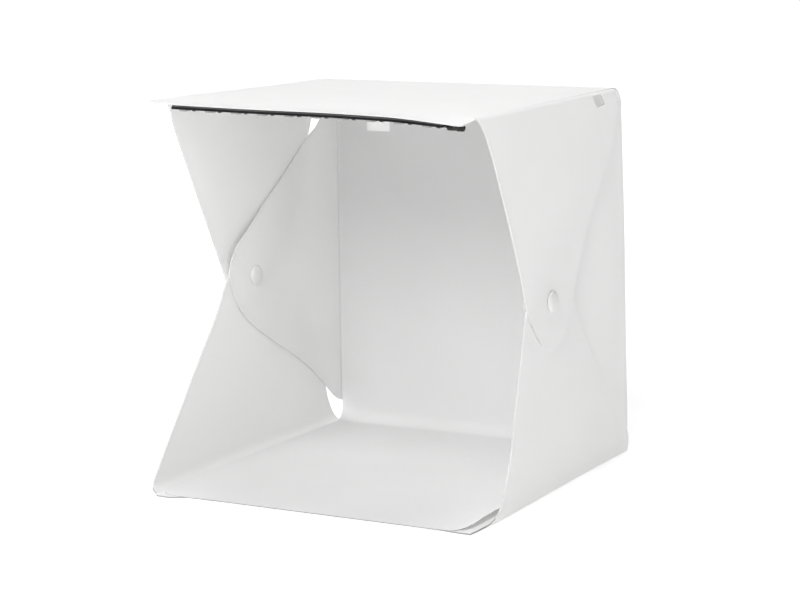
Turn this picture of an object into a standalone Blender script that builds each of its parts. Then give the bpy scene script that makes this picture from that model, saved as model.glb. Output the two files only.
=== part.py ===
"""Folding light tent: a cube bent from one translucent plastic sheet, held by snap buttons at both sides.

Metres, +Z up, +X to the right, +Y to the back; the open front faces -Y. The origin is on the ground
under the middle of the cube. Three panels (base, back, top) carry two flaps each. Beside the cube the
three flaps of a side lie over each other: the top flap outside, the base flap in the middle and the back
flap inside, and a stack of snap pieces joins them. Thin bent strips stand for the living hinges.
"""

import math

import bmesh
import bpy
import numpy as np
from mathutils import Vector

# Sheet and clearances
SHEET = 0.0008  # thickness of the white sheet
GAP = 0.0003  # clearance between pieces that meet
OVERRUN = 0.004  # how far a cutter runs past what it cuts

# The cube
BOX_HEIGHT = 0.240  # to the upper face of the top panel
BOX_DEPTH = 0.228  # front edge of the base to the outer face of the back
OUTER_WIDTH = 0.226  # over the two top flaps
BASE_BULGE = 0.004  # how far the foot of a base flap stands out past the top flap
BACK_SPLAY = 0.0018  # how far the back flap's crease lies outside its end at the snap

# Bends, as radii of the outer face
TOP_BACK_BEND = 0.014
BASE_BACK_BEND = 0.004
TOP_FLAP_BEND = 0.005
BASE_FLAP_BEND = 0.012
BACK_FLAP_BEND = 0.002
BEND_STEPS = 8
EASE_STEPS = 10

# Front lip of the top panel
LIP_SETBACK = 0.005  # behind the front edge of the base
LIP_DEPTH = 0.024
LIP_FLARE = 0.006  # each end of the lip stands this far outside the crease
LIP_CORNER = 0.003
LIP_SHOULDER = 0.002

# Where the flaps' edges meet their creases and bends
TOP_FLAP_BACK_INSET = 0.002  # from the start of the bend at the back
BASE_FLAP_FRONT_INSET = 0.002  # from the front edge of the base
BASE_FLAP_BACK_INSET = 0.002
BASE_FRONT_SLANT = 0.022  # along the base, over the bend of the flap
BASE_BACK_SLANT = 0.009
BACK_FLAP_FOOT = 0.0155  # above the ground
BACK_FLAP_HEAD_INSET = 0.001  # below the start of the bend at the top

# Round ends of the flaps, about the snap
SNAP_BEHIND_MIDDLE = 0.004
SNAP_HEIGHT_SHARE = 0.4917
TOP_TIP_RADIUS = 0.024
TOP_TIP_DROP = 0.007  # the round end's centre below the snap
BASE_TIP_RADIUS = 0.026
BACK_TIP_RADIUS = 0.028
BACK_TIP_RISE = 0.002
TIP_STEPS = 20
ELBOW_INSET = 0.017  # the base flap's rear corner, from the start of the bend at the back
ELBOW_HEIGHT = 0.042
ELBOW_RADIUS = 0.025
BASE_EASE_BELOW_SNAP = 0.020  # where a base flap becomes upright
BACK_EASE_BEHIND_SNAP = 0.020

# Snap pieces
CAP_RADIUS = 0.0067
CAP_HEIGHT = 0.0028
CAP_RIM = 0.0009
CAP_STEPS = 5
POST_RADIUS = 0.0014
POST_REACH = 0.0003  # into the socket or stud on the other side of the sheet
POST_CLEARANCE = 0.0003  # round a post
RING_RADIUS = 0.0053
SOCKET_HEIGHT = 0.0007
SOCKET_LEDGE = 0.0003
STUD_HEIGHT = 0.0006
STUD_BASE = 0.0003
STUD_KNOB = 0.0026
KNOB_CLEARANCE = 0.0003
SNAP_CLEARANCE = 0.0003  # between a stud and the socket that it meets
TURN_STEPS = 24

# Cable slot, through the bend of the right top flap
SLOT_LENGTH = 0.014
SLOT_TOP_DROP = 0.0015  # upper edge, below the top panel's upper face
SLOT_HEIGHT = 0.008
SLOT_BACK_INSET = 0.024  # from the start of the bend at the back to the slot's rear end

# Backdrop, a loose sheet from the floor up the back
BACKDROP_THICK = 0.0005
BACKDROP_BEND = 0.009
BACKDROP_CORNER = 0.012
BACKDROP_SIDE_INSET = 0.0005  # from the flat part of the base
BACKDROP_FRONT_INSET = 0.001
BACKDROP_TOP_INSET = 0.004  # below the start of the bend at the top
PATCH_WIDTH = 0.018
PATCH_DROP = 0.016
PATCH_THICK = 0.0008
PATCH_TOP_INSET = 0.0005
PATCH_SIDE_INSET = 0.0222

# Light strip under the lip
STRIP_LEFT_INSET = 0.017  # from the crease of the left top flap
STRIP_RIGHT_INSET = 0.0094  # from the crease of the right one, where the inlet needs room
STRIP_FRONT_INSET = 0.001  # behind the lip's front edge
STRIP_WIDTH = 0.008
TAPE_THICK = 0.0005
TAPE_SIDE_INSET = 0.0004
BOARD_THICK = 0.0010
LED_COUNT = 10  # each with a resistor to its right
LED_END_INSET = 0.0096  # from the left end of the strip to the first lamp
RESISTOR_END_INSET = 0.00235  # from the last resistor to the right end
LED_SIZE = 0.0050
LED_HEIGHT = 0.0014
LENS_RADIUS = 0.0019
LENS_DEPTH = 0.0003
RESISTOR_LENGTH = 0.0032
RESISTOR_WIDTH = 0.0016
RESISTOR_HEIGHT = 0.0007
LEAD_RADIUS = 0.0005
LEAD_LENGTH = 0.0024
LEAD_SPACING = 0.0026
INLET_RADIUS = 0.0021
INLET_BACK_RADIUS = 0.0018
INLET_LENGTH = 0.0098
INLET_COLLAR = 0.0050
INLET_BORE = 0.0009
INLET_BORE_DEPTH = 0.0035

HALF_DEPTH = BOX_DEPTH / 2
PITCH = SHEET + GAP + SOCKET_HEIGHT + SNAP_CLEARANCE + STUD_HEIGHT + GAP  # one layer to the next
TOP_LAYER = OUTER_WIDTH / 2  # outer face of each flap at the snap
BASE_LAYER = TOP_LAYER - PITCH
BACK_LAYER = BASE_LAYER - PITCH
BASE_PLANE = TOP_LAYER + BASE_BULGE  # outer face of each flap at its bend
BACK_PLANE = BACK_LAYER + BACK_SPLAY
TOP_HALF = TOP_LAYER - TOP_FLAP_BEND  # where each panel's side bend starts
BASE_HALF = BASE_PLANE - BASE_FLAP_BEND
BACK_HALF = BACK_PLANE - BACK_FLAP_BEND
LIP_FRONT = -HALF_DEPTH + LIP_SETBACK
LIP_ROOT = LIP_FRONT + LIP_DEPTH
TOP_END = HALF_DEPTH - TOP_BACK_BEND  # where the top panel turns down
BACK_TOP = BOX_HEIGHT - TOP_BACK_BEND
BASE_END = HALF_DEPTH - BASE_BACK_BEND
SNAP_HEIGHT = BOX_HEIGHT * SNAP_HEIGHT_SHARE
BOX_MIDDLE = Vector((0, 0, BOX_HEIGHT / 2))
SIDES = {"left": -1, "right": 1}

MATERIALS = {  # color, roughness
    "sheet": ((0.90, 0.90, 0.90), 0.42),
    "crease": ((0.88, 0.88, 0.88), 0.38),
    "backdrop": ((0.86, 0.86, 0.87), 0.70),
    "patch": ((0.94, 0.94, 0.93), 0.90),
    "snap": ((0.92, 0.92, 0.91), 0.22),
    "tape": ((0.45, 0.45, 0.45), 0.60),
    "board": ((0.015, 0.015, 0.017), 0.45),
    "lamp": ((0.80, 0.78, 0.62), 0.25),
    "resistor": ((0.03, 0.03, 0.03), 0.35),
    "inlet": ((0.02, 0.02, 0.02), 0.40),
    "lead": ((0.05, 0.05, 0.05), 0.45),
}


def clear_scene():
    for obj in list(bpy.data.objects):
        bpy.data.objects.remove(obj, do_unlink=True)


def make_collection(name):
    collection = bpy.data.collections.new(name)
    bpy.context.scene.collection.children.link(collection)
    return collection


def make_material(name):
    color, roughness = MATERIALS[name]
    material = bpy.data.materials.new(name)
    material.use_nodes = True
    shader = material.node_tree.nodes["Principled BSDF"]
    shader.inputs["Base Color"].default_value = (*color, 1.0)
    shader.inputs["Roughness"].default_value = roughness
    return material


clear_scene()
PARTS = make_collection("light_tent_cube")
CUTTERS = make_collection("cutters")
MADE_MATERIALS = {name: make_material(name) for name in MATERIALS}


# Objects


def add_object(name, mesh, material=None):
    obj = bpy.data.objects.new(name, mesh)
    if material is None:
        CUTTERS.objects.link(obj)
        obj.hide_render = True
        obj.display_type = "WIRE"
    else:
        PARTS.objects.link(obj)
        mesh.materials.append(MADE_MATERIALS[material])
    return obj


def cut(obj, cutter):
    modifier = obj.modifiers.new("cut", "BOOLEAN")
    modifier.operation = "DIFFERENCE"
    modifier.object = cutter
    modifier.solver = "EXACT"


def sheet_piece(name, outline, shape, material, lines=(), thick=SHEET):
    """A sheet cut to an outline of (u, v) points, split along lines of equal v, and bent by shape(u, v)."""
    bm = bmesh.new()
    bm.faces.new([bm.verts.new((u, v, 0)) for u, v in outline])
    for v in lines:
        geometry = bm.verts[:] + bm.edges[:] + bm.faces[:]
        bmesh.ops.bisect_plane(bm, geom=geometry, dist=GAP / 100, plane_co=(0, v, 0), plane_no=(0, 1, 0))
    for vertex in bm.verts:
        vertex.co = shape(vertex.co.x, vertex.co.y)
    bm.normal_update()
    biggest = max(bm.faces, key=lambda face: face.calc_area())
    if biggest.normal.dot(biggest.calc_center_median() - BOX_MIDDLE) < 0:
        bmesh.ops.reverse_faces(bm, faces=bm.faces)
    mesh = bpy.data.meshes.new(name)
    bm.to_mesh(mesh)
    bm.free()
    obj = add_object(name, mesh, material)
    solidify = obj.modifiers.new("thickness", "SOLIDIFY")
    solidify.thickness = thick
    solidify.offset = -1
    solidify.use_even_offset = True
    return obj


def turned(name, profile, seat, outward, material=None, closed=False):
    """A turned piece: the profile gives (radius, height over the seat), down its outer side."""
    bm = bmesh.new()
    verts = [bm.verts.new((radius, 0, height)) for radius, height in profile]
    for pair in zip(verts, verts[1:]):
        bm.edges.new(pair)
    if closed:
        bm.edges.new((verts[-1], verts[0]))
    mesh = bpy.data.meshes.new(name)
    bm.to_mesh(mesh)
    bm.free()
    obj = add_object(name, mesh, material)
    screw = obj.modifiers.new("turn", "SCREW")
    screw.axis = "Z"
    screw.steps = screw.render_steps = TURN_STEPS
    screw.use_merge_vertices = True
    screw.merge_threshold = GAP / 100
    obj.location = seat
    obj.rotation_mode = "QUATERNION"
    obj.rotation_quaternion = Vector(outward).to_track_quat("Z", "Y")
    return obj


def box(name, low, high, material=None):
    bm = bmesh.new()
    bmesh.ops.create_cube(bm, size=1)
    size = Vector(high) - Vector(low)
    bmesh.ops.scale(bm, vec=size, verts=bm.verts)
    bmesh.ops.translate(bm, vec=Vector(low) + size / 2, verts=bm.verts)
    mesh = bpy.data.meshes.new(name)
    bm.to_mesh(mesh)
    bm.free()
    return add_object(name, mesh, material)


# Plane geometry


def arc(centre, radius, start, end, steps):
    """Points on a circle, its angles in radians from the first axis."""
    turn = (end - start) / steps
    return [
        (centre[0] + radius * math.cos(start + turn * i), centre[1] + radius * math.sin(start + turn * i))
        for i in range(steps + 1)
    ]


def fillet(before, corner, after, radius, steps=BEND_STEPS):
    """The arc that rounds a corner between two neighbours."""
    here = Vector(corner)
    to_before, to_after = (Vector(before) - here).normalized(), (Vector(after) - here).normalized()
    half = to_before.angle(to_after) / 2
    middle = here + (to_before + to_after).normalized() * (radius / math.sin(half))
    start = here + to_before * (radius / math.tan(half)) - middle
    end = here + to_after * (radius / math.tan(half)) - middle
    first = math.atan2(start.y, start.x)
    turn = (math.atan2(end.y, end.x) - first + math.pi) % (2 * math.pi) - math.pi
    return arc(middle, radius, first, first + turn, steps)


def rounded(corners):
    """An outline through (u, v, radius) corners, those with a radius rounded."""
    outline = []
    for i, (u, v, radius) in enumerate(corners):
        before, after = corners[i - 1][:2], corners[(i + 1) % len(corners)][:2]
        outline += fillet(before, (u, v), after, radius) if radius else [(u, v)]
    return outline


def touch_angle(centre, radius, point, side):
    """Where on a circle the line from a point touches it, on one side or the other."""
    away = Vector(point) - Vector(centre)
    return math.atan2(away.y, away.x) + side * math.acos(radius / away.length)


def flap_outline(first, last, centre, radius, elbow=None):
    """A flap from its two feet: straight edges that touch its round end, the last one by way of an elbow."""
    start = touch_angle(centre, radius, first, -1)
    stop = touch_angle(centre, radius, elbow or last, 1)
    tip = arc(centre, radius, start, start - (start - stop) % (2 * math.pi), TIP_STEPS)
    bent = fillet(tip[-1], elbow, last, ELBOW_RADIUS) if elbow else []
    return [first, *tip, *bent, last]


def eased(start, end, plane, layer):
    """Samples of a sheet's outer face that swings from its bend's plane over to its layer."""
    away = np.linspace(start, end, EASE_STEPS + 1)
    swing = (1 + np.cos(np.linspace(0, math.pi, EASE_STEPS + 1))) / 2
    return away, layer + (plane - layer) * swing


# Panels and the bends between them


def make_panels():
    def top(x, y):
        return Vector((x, y, BOX_HEIGHT))

    def base(x, y):
        return Vector((x, y, 0))

    def back(x, z):
        return Vector((x, HALF_DEPTH, z))

    half, lip = TOP_HALF - GAP, TOP_HALF + LIP_FLARE
    shoulder = LIP_ROOT - LIP_SHOULDER
    corners = [
        (-lip, LIP_FRONT, LIP_CORNER),
        (lip, LIP_FRONT, LIP_CORNER),
        (lip, shoulder, LIP_SHOULDER / 2),
        (half, LIP_ROOT - GAP, 0),
        (half, TOP_END - GAP, 0),
        (-half, TOP_END - GAP, 0),
        (-half, LIP_ROOT - GAP, 0),
        (-lip, shoulder, LIP_SHOULDER / 2),
    ]
    sheet_piece("top_panel", rounded(corners), top, "sheet")

    half = BASE_HALF - GAP
    corners = [(-half, -HALF_DEPTH), (half, -HALF_DEPTH), (half, BASE_END - GAP), (-half, BASE_END - GAP)]
    sheet_piece("base_panel", corners, base, "sheet")

    half = BACK_HALF - GAP
    low, high = BASE_BACK_BEND + GAP, BACK_TOP - GAP
    sheet_piece("back_panel", [(-half, low), (half, low), (half, high), (-half, high)], back, "sheet")


def quarter_strip(name, half, radius, corner, away, up, material, thick=SHEET):
    """A right-angled bend that runs along X: corner is where its two faces would meet."""
    quarter = math.pi / 2

    def shape(x, turn):
        across, along = radius * (1 - math.sin(turn)), radius * (1 - math.cos(turn))
        return corner + away * across + up * along + Vector((x, 0, 0))

    steps = [quarter * i / BEND_STEPS for i in range(1, BEND_STEPS)]
    outline = [(-half, 0), (half, 0), (half, quarter), (-half, quarter)]
    return sheet_piece(name, outline, shape, material, steps, thick)


def make_cross_bends():
    forward, up, down = Vector((0, -1, 0)), Vector((0, 0, 1)), Vector((0, 0, -1))
    low, high = Vector((0, HALF_DEPTH, 0)), Vector((0, HALF_DEPTH, BOX_HEIGHT))
    quarter_strip("base_crease", BASE_HALF - GAP, BASE_BACK_BEND, low, forward, up, "crease")
    quarter_strip("top_crease", BACK_HALF - GAP, TOP_BACK_BEND, high, forward, down, "crease")


# Flaps and their bends


def make_flap(side, name, place, half, bend, plane, layer, ease, feet, slants, tip, snap, elbow=None):
    """One flap and the bend it hangs on. Feet are its ends along the panel's edge, and slants how far the
    bend's ends run in from them; tip is (centre, radius) of its round end, snap the middle of its hole."""
    sign = SIDES[side]
    away, across = eased(bend, ease, plane, layer)

    def flap_shape(along, v):
        return place(sign * float(np.interp(v, away, across)), along, v)

    def bend_shape(along, turn):
        return place(sign * (half + bend * math.sin(turn)), along, bend * (1 - math.cos(turn)))

    quarter = math.pi / 2
    low, high = feet
    inner_low, inner_high = low + slants[0], high - slants[1]
    strip = [(low, 0), (high, 0), (inner_high, quarter), (inner_low, quarter)]
    steps = [quarter * i / BEND_STEPS for i in range(1, BEND_STEPS)]
    crease = sheet_piece(f"{side}_{name}_crease", strip, bend_shape, "crease", steps)

    outline = flap_outline((inner_low, bend + GAP), (inner_high, bend + GAP), *tip, elbow)
    lines = list(away[1:]) if plane != layer else []
    flap = sheet_piece(f"{side}_{name}", outline, flap_shape, "sheet", lines)
    bore, reach = POST_RADIUS + POST_CLEARANCE, SHEET + OVERRUN
    hole = turned(
        f"{side}_{name}_hole",
        [(0, reach + OVERRUN), (bore, reach + OVERRUN), (bore, 0), (0, 0)],
        place(sign * (layer - reach), *snap),
        (sign, 0, 0),
    )
    cut(flap, hole)
    return flap, crease


def make_flaps():
    def on_top(x, along, away):
        return Vector((x, along, BOX_HEIGHT - away))

    def on_base(x, along, away):
        return Vector((x, along, away))

    def on_back(x, along, away):
        return Vector((x, HALF_DEPTH - away, along))

    drop = BOX_HEIGHT - SNAP_HEIGHT
    behind = HALF_DEPTH - SNAP_BEHIND_MIDDLE
    slot_back = TOP_END - SLOT_BACK_INSET
    slot_top = BOX_HEIGHT - SLOT_TOP_DROP
    slot = box(
        "cable_slot_cutter",
        (TOP_HALF - OVERRUN, slot_back - SLOT_LENGTH, slot_top - SLOT_HEIGHT),
        (TOP_LAYER + OVERRUN, slot_back, slot_top),
    )
    for side in SIDES:
        flap, crease = make_flap(
            side, "top_flap", on_top, TOP_HALF, TOP_FLAP_BEND, TOP_LAYER, TOP_LAYER,
            ease=drop,
            feet=(LIP_ROOT, TOP_END - TOP_FLAP_BACK_INSET),
            slants=(0, 0),
            tip=((SNAP_BEHIND_MIDDLE, drop + TOP_TIP_DROP), TOP_TIP_RADIUS),
            snap=(SNAP_BEHIND_MIDDLE, drop),
        )
        if side == "right":
            cut(flap, slot)
            cut(crease, slot)
        make_flap(
            side, "base_flap", on_base, BASE_HALF, BASE_FLAP_BEND, BASE_PLANE, BASE_LAYER,
            ease=SNAP_HEIGHT - BASE_EASE_BELOW_SNAP,
            feet=(-HALF_DEPTH + BASE_FLAP_FRONT_INSET, BASE_END - BASE_FLAP_BACK_INSET),
            slants=(BASE_FRONT_SLANT, BASE_BACK_SLANT),
            tip=((SNAP_BEHIND_MIDDLE, SNAP_HEIGHT), BASE_TIP_RADIUS),
            snap=(SNAP_BEHIND_MIDDLE, SNAP_HEIGHT),
            elbow=(BASE_END - ELBOW_INSET, ELBOW_HEIGHT),
        )
        make_flap(
            side, "back_flap", on_back, BACK_HALF, BACK_FLAP_BEND, BACK_PLANE, BACK_LAYER,
            ease=behind - BACK_EASE_BEHIND_SNAP,
            feet=(BACK_FLAP_FOOT, BACK_TOP - BACK_FLAP_HEAD_INSET),
            slants=(0, 0),
            tip=((SNAP_HEIGHT + BACK_TIP_RISE, behind), BACK_TIP_RADIUS),
            snap=(SNAP_HEIGHT, behind),
        )


# Snap buttons


def make_snaps():
    post_length = GAP + SHEET + GAP + POST_REACH
    sphere_rise = CAP_HEIGHT - CAP_RIM
    sphere = (CAP_RADIUS**2 + sphere_rise**2) / (2 * sphere_rise)
    spread = math.asin(CAP_RADIUS / sphere)
    angles = [spread * i / CAP_STEPS for i in range(CAP_STEPS + 1)]
    dome = [(sphere * math.sin(a), CAP_HEIGHT - sphere * (1 - math.cos(a))) for a in angles]
    post = [(POST_RADIUS, 0), (POST_RADIUS, -post_length), (0, -post_length)]
    cap = [*dome, (CAP_RADIUS, 0), *post]
    knob_bore = STUD_KNOB + KNOB_CLEARANCE
    post_bore = POST_RADIUS + POST_CLEARANCE
    socket = [
        (knob_bore, SOCKET_HEIGHT), (RING_RADIUS, SOCKET_HEIGHT), (RING_RADIUS, 0),
        (post_bore, 0), (post_bore, SOCKET_LEDGE), (knob_bore, SOCKET_LEDGE),
    ]
    shoulder = [(STUD_KNOB, STUD_HEIGHT), (STUD_KNOB, STUD_BASE), (RING_RADIUS, STUD_BASE), (RING_RADIUS, 0)]
    stud = [(0, STUD_HEIGHT), *shoulder, *post]
    hollow_stud = [(post_bore, STUD_HEIGHT), *shoulder, (post_bore, 0)]

    for side, sign in SIDES.items():
        out, inward = (sign, 0, 0), (-sign, 0, 0)
        for name, profile, across, way, closed in (
            ("outer_cap", cap, TOP_LAYER + GAP, out, False),
            ("outer_socket", socket, TOP_LAYER - SHEET - GAP, inward, True),
            ("middle_stud", stud, BASE_LAYER + GAP, out, False),
            ("middle_socket", socket, BASE_LAYER - SHEET - GAP, inward, True),
            ("inner_stud", hollow_stud, BACK_LAYER + GAP, out, True),
            ("inner_cap", cap, BACK_LAYER - SHEET - GAP, inward, False),
        ):
            seat = (sign * across, SNAP_BEHIND_MIDDLE, SNAP_HEIGHT)
            turned(f"{side}_{name}", profile, seat, way, "snap", closed)


# Backdrop


def make_backdrop():
    half = BASE_HALF - BACKDROP_SIDE_INSET
    under = SHEET + GAP  # the floor's lower face
    behind = HALF_DEPTH - SHEET - GAP - PATCH_THICK - GAP  # the wall's rear face
    turn_floor, turn_wall = behind - BACKDROP_BEND, under + BACKDROP_BEND
    top = BACK_TOP - BACKDROP_TOP_INSET

    def floor(x, y):
        return Vector((x, y, under))

    def wall(x, z):
        return Vector((x, behind, z))

    front = -HALF_DEPTH + BACKDROP_FRONT_INSET
    corners = [
        (-half, front, BACKDROP_CORNER),
        (half, front, BACKDROP_CORNER),
        (half, turn_floor - GAP, 0),
        (-half, turn_floor - GAP, 0),
    ]
    sheet_piece("backdrop_floor", rounded(corners), floor, "backdrop", thick=BACKDROP_THICK)
    corner, forward, up = Vector((0, behind, under)), Vector((0, -1, 0)), Vector((0, 0, 1))
    quarter_strip("backdrop_crease", half, BACKDROP_BEND, corner, forward, up, "backdrop", BACKDROP_THICK)
    corners = [(-half, turn_wall + GAP), (half, turn_wall + GAP), (half, top), (-half, top)]
    sheet_piece("backdrop_wall", corners, wall, "backdrop", thick=BACKDROP_THICK)

    high = top - PATCH_TOP_INSET
    for side, sign in SIDES.items():
        ends = sorted((sign * (half - PATCH_SIDE_INSET), sign * (half - PATCH_SIDE_INSET - PATCH_WIDTH)))
        low_corner = (ends[0], behind + GAP, high - PATCH_DROP)
        box(f"{side}_backdrop_patch", low_corner, (ends[1], behind + GAP + PATCH_THICK, high), "patch")


# Light strip


def make_light_strip():
    left, right = STRIP_LEFT_INSET - TOP_HALF, TOP_HALF - STRIP_RIGHT_INSET
    front = LIP_FRONT + STRIP_FRONT_INSET
    back = front + STRIP_WIDTH
    middle = (front + back) / 2
    tape_top = BOX_HEIGHT - SHEET - GAP
    tape_under = tape_top - TAPE_THICK
    board_top = tape_under - GAP
    board_under = board_top - BOARD_THICK
    seat = board_under - GAP
    tape_front, tape_back = front + TAPE_SIDE_INSET, back - TAPE_SIDE_INSET
    box("light_strip_tape", (left, tape_front, tape_under), (right, tape_back, tape_top), "tape")
    box("light_strip_board", (left, front, board_under), (right, back, board_top), "board")

    across = LED_SIZE / 2
    pitch = (right - left - LED_END_INSET - RESISTOR_END_INSET) / (LED_COUNT - 1 / 2)
    for i in range(LED_COUNT):
        x = left + LED_END_INSET + pitch * i
        low = (x - across, middle - across, seat - LED_HEIGHT)
        lamp = box(f"led_{i + 1:02d}", low, (x + across, middle + across, seat), "lamp")
        dish = [(0, OVERRUN), (LENS_RADIUS, OVERRUN), (LENS_RADIUS, -LENS_DEPTH), (0, -LENS_DEPTH)]
        cut(lamp, turned(f"led_{i + 1:02d}_lens", dish, (x, middle, seat - LED_HEIGHT), (0, 0, -1)))
    across, resistor_front = RESISTOR_LENGTH / 2, front + GAP
    for i in range(LED_COUNT):
        x = left + LED_END_INSET + pitch * (i + 1 / 2)
        low = (x - across, resistor_front, seat - RESISTOR_HEIGHT)
        box(f"resistor_{i + 1:02d}", low, (x + across, resistor_front + RESISTOR_WIDTH, seat), "resistor")

    lead_height = (board_top + board_under) / 2
    lead = [(0, LEAD_LENGTH), (LEAD_RADIUS, LEAD_LENGTH), (LEAD_RADIUS, 0), (0, 0)]
    for place, offset in (("front", -LEAD_SPACING / 2), ("rear", LEAD_SPACING / 2)):
        turned(f"{place}_lead", lead, (right + GAP, middle + offset, lead_height), (1, 0, 0), "lead")
    bore_end, collar = INLET_LENGTH - INLET_BORE_DEPTH, INLET_LENGTH - INLET_COLLAR
    inlet = [
        (0, bore_end),
        (INLET_BORE, bore_end),
        (INLET_BORE, INLET_LENGTH),
        (INLET_RADIUS, INLET_LENGTH),
        (INLET_RADIUS, collar),
        (INLET_BACK_RADIUS, collar),
        (INLET_BACK_RADIUS, 0),
        (0, 0),
    ]
    start = right + GAP + LEAD_LENGTH + GAP
    turned("power_inlet", inlet, (start, middle, tape_top - INLET_RADIUS), (1, 0, 0), "inlet")


def main():
    make_panels()
    make_cross_bends()
    make_flaps()
    make_snaps()
    make_backdrop()
    make_light_strip()


main()
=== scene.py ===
"""Looks of the folding light tent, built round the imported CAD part.

Shapes are in millimetres, with X to the right, Y to the back and Z up.
"""

import math

import bmesh
import bpy
import numpy as np
from mathutils import Matrix, Vector


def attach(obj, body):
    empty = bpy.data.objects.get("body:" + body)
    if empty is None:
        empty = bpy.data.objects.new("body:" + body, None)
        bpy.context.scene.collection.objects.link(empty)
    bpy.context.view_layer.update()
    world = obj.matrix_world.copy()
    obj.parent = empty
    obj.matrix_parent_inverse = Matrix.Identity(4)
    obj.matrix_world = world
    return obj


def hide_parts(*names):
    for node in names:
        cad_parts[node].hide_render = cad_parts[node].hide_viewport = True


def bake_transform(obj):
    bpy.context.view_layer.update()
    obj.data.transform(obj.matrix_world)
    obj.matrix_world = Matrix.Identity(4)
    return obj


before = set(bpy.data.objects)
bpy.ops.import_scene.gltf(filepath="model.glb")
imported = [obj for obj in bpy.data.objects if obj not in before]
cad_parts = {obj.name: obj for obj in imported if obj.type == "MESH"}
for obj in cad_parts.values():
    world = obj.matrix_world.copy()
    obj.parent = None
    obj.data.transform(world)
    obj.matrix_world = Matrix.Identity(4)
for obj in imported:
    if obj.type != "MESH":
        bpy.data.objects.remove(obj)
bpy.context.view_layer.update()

MM = 0.001
THICK = 0.8  # the white plastic
HEIGHT, HALF_DEPTH = 240.0, 114.0
MIDDLE = np.array((0.0, 0.0, HEIGHT / 2))  # outer faces look away from it
SIDES = (("left", -1), ("right", 1))

# Radii of the bends, and how far out from the middle the outer faces lie
TOP_BEND, TOP_PLANE = 3.0, 113.0
BASE_BENDS = {"left": 7.0, "right": 1.5}
BASE_LAYERS, BASE_UPRIGHT = {"left": 110.0, "right": 111.2}, 98.0  # from that height up a base flap is upright
BACK_BEND, BACK_LAYER, BACK_STRAIGHT = 2.0, 107.0, 90.0  # that far from its bend a back flap is straight
TOP_BACK_BEND, BASE_BACK_BEND = 14.0, 4.0
TOP_REAR = {"left": 105.0, "right": 108.0}  # half the width of the top's rear bend
SNAPS_AT = {"left": (4.6, 118.7), "right": (0.0, 118.2)}  # (Y, Z)

# (Y, how far out) of the foot of a base flap, which stands out most at the front
BASE_FEET = {
    "left": ((-114, 113.0), (114, 111.5)),
    "right": ((-114, 117.9), (-88, 118.1), (-60, 117.3), (-30, 116.0), (20, 114.2), (70, 112.7), (114, 112.0)),
}
# (Z, how far out) of a rear corner, which stands out more towards the ground
REAR_CORNERS = {
    "left": ((10, 109.7), (230, 107.0)),
    "right": ((0, 111.6), (30, 111.3), (67, 110.8), (133, 110.3), (166, 109.9), (212, 108.9), (231, 108.3)),
}
# (Y, height over level) of the soft cube's top, RISE_AT out on each side
RISE_AT = 110
TOP_RISE = {
    "left": ((-60, 4.0), (0, 2.7), (50, 1.8), (100, 1.5)),
    "right": ((-78, -1.0), (0, -0.45), (95, 0.1)),
}
SAG = 0.3  # how deep the front left corner of the base hangs


def part_way(value, start, end, most=1):
    """How far a value has come from start to end, from 0 to most."""
    return min(max((value - start) / (end - start), 0), most)


def gently(share):
    """A share from 0 to 1 that starts and stops slowly."""
    return share**2 * (3 - 2 * share)


def looked_up(table, at):
    """The value at a place in a table of (place, value)."""
    return np.interp(at, *zip(*table))


def base_plane(side, y):
    return looked_up(BASE_FEET[side], y)


def sag(x, y):
    return -SAG * gently(part_way(-x, 50, 95)) * gently(part_way(-y, 60, 110))


def back_plane(side, z):
    return looked_up(REAR_CORNERS[side], z)


def lean(x, y):
    """How much higher than level the cube's top stands."""
    left, right = (looked_up(TOP_RISE[side], y) for side, _ in SIDES)
    return (left + right) / 2 + (right - left) / 2 * x / RISE_AT


def racked(p):
    """The small lean of the whole cube."""
    x, y, z = p
    return np.array((x, y, z + z / HEIGHT * lean(x, y)))


def level(x, y, z):
    """The height that leans to z."""
    return z / (1 + lean(x, y) / HEIGHT)


# Materials


def new_material(name):
    material = bpy.data.materials.new(name)
    material.use_nodes = True
    tree = material.node_tree
    return material, tree, tree.nodes["Principled BSDF"], tree.nodes["Material Output"]


def add(tree, kind, **values):
    node = tree.nodes.new(kind)
    for key, value in values.items():
        if key in node.inputs:
            node.inputs[key].default_value = value
        else:
            setattr(node, key, value)
    return node


def noise(tree, scale, detail=2.0):
    place = tree.nodes.get("place") or add(tree, "ShaderNodeTexCoord", name="place")
    texture = add(tree, "ShaderNodeTexNoise", Scale=scale, Detail=detail, Roughness=0.5)
    tree.links.new(place.outputs["Object"], texture.inputs["Vector"])
    return texture.outputs["Fac"]


RAMP_ENDS = (0.3, 0.7)  # the noise seldom goes past these
GRAIN_DEPTH = 0.0002  # metres


def ramp(tree, factor, low, high):
    node = add(tree, "ShaderNodeValToRGB")
    for element, position, colour in zip(node.color_ramp.elements, RAMP_ENDS, (low, high)):
        element.position, element.color = position, (*colour, 1)
    tree.links.new(factor, node.inputs["Fac"])
    return node.outputs["Color"]


def bump(tree, height, painted_glow):
    node = add(tree, "ShaderNodeBump", Strength=painted_glow, Distance=GRAIN_DEPTH)
    tree.links.new(height, node.inputs["Height"])
    return node.outputs["Normal"]


def finish(name, low, high, roughness, grain_scale, grain, specular=0.5, patches=40.0, **more):
    """A surface with a fine grain, whose colour varies a little from patch to patch."""
    material, tree, shader, _ = new_material(name)
    tree.links.new(ramp(tree, noise(tree, patches, detail=4.0), low, high), shader.inputs["Base Color"])
    tree.links.new(bump(tree, noise(tree, grain_scale, detail=3.0), grain), shader.inputs["Normal"])
    shader.inputs["Roughness"].default_value = roughness
    shader.inputs["Specular IOR Level"].default_value = specular
    for key, value in more.items():
        shader.inputs[key].default_value = value
    return material


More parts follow.
